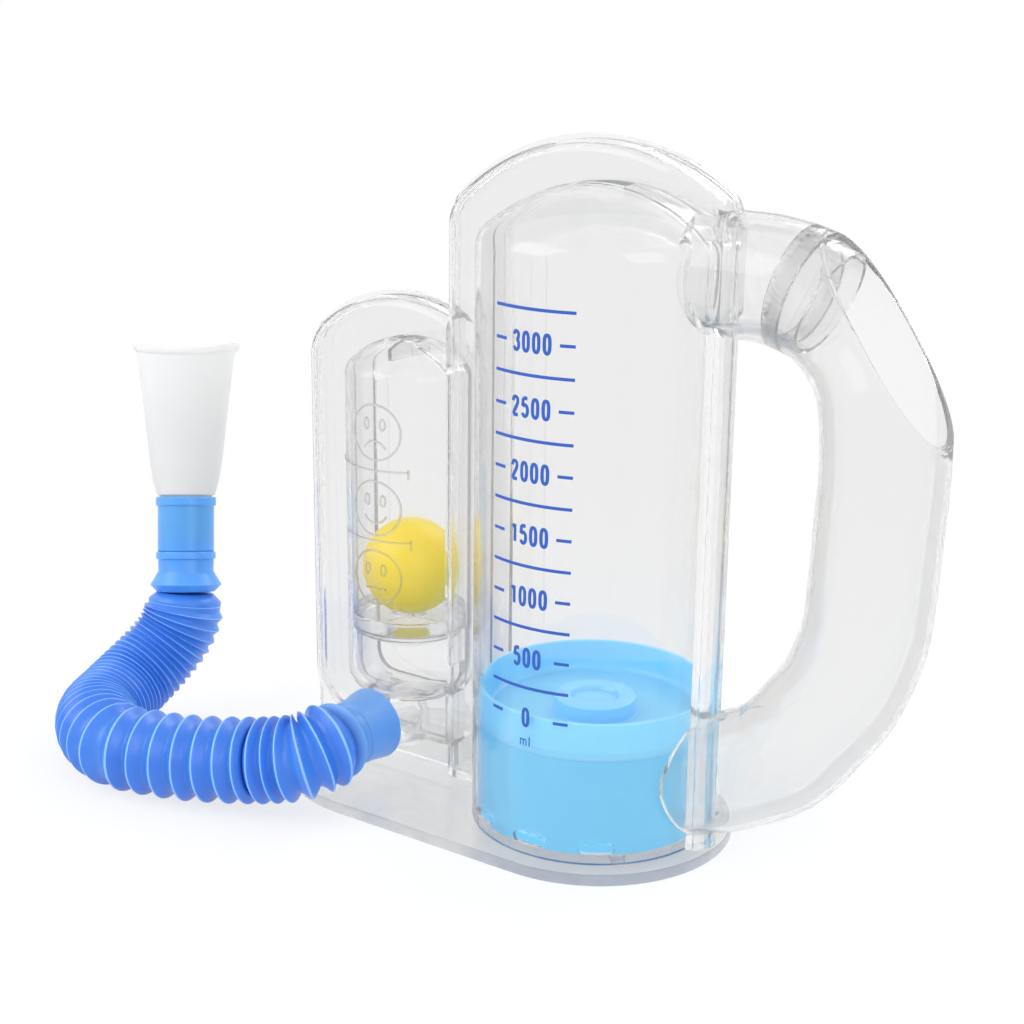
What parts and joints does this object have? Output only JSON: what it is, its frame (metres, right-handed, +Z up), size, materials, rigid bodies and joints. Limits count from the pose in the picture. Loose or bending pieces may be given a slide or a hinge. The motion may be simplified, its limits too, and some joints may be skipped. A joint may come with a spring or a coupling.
{
  "type": "incentive spirometer",
  "caption": "Clear volumetric breathing exerciser: measuring cylinder with rising piston, ball flow indicator, hollow D handle, base tray, corrugated hose and mouthpiece.",
  "frame": {"origin": "on the measuring cylinder's axis, in the plane of the tray's underside", "axes": "+Z up along the measuring cylinder, +X towards the handle, +Y towards the back; the printed front faces -Y"},
  "size_m": [0.3597, 0.1498, 0.2533],
  "materials": {
    "clear_polystyrene": "clear, glossy",
    "sky_blue_plastic": "smooth, moulded",
    "yellow_plastic": "smooth, moulded",
    "blue_cuff_plastic": "smooth, slightly translucent",
    "blue_polyethylene": "corrugated, slightly translucent",
    "frosted_plastic": "frosted, translucent"
  },
  "bodies": {
    "casing": {"front_shell": "clear_polystyrene", "back_shell": "clear_polystyrene", "base_tray": "clear_polystyrene", "handle": "clear_polystyrene", "ball_seat": "clear_polystyrene", "flow_funnel": "clear_polystyrene", "lower_cuff": "blue_cuff_plastic", "hose": "blue_polyethylene", "upper_cuff": "blue_cuff_plastic"},
    "piston": {"piston": "sky_blue_plastic"},
    "ball": {"flow_ball": "yellow_plastic"},
    "mouthpiece": {"mouthpiece": "frosted_plastic"}
  },
  "joints": [
    {"name": "piston_slide", "type": "slide", "parent": "casing", "child": "piston", "axis": [0, 0, 1], "range_m": [0, 0.158]},
    {"name": "ball_slide", "type": "slide", "parent": "casing", "child": "ball", "axis": [0, 0, 1], "range_m": [0, 0.0625]},
    {"name": "mouthpiece_slide", "type": "slide", "parent": "casing", "child": "mouthpiece", "axis": [-0.1726, 0.2253, 0.9589], "range_m": [0, 0.022]}
  ]
}
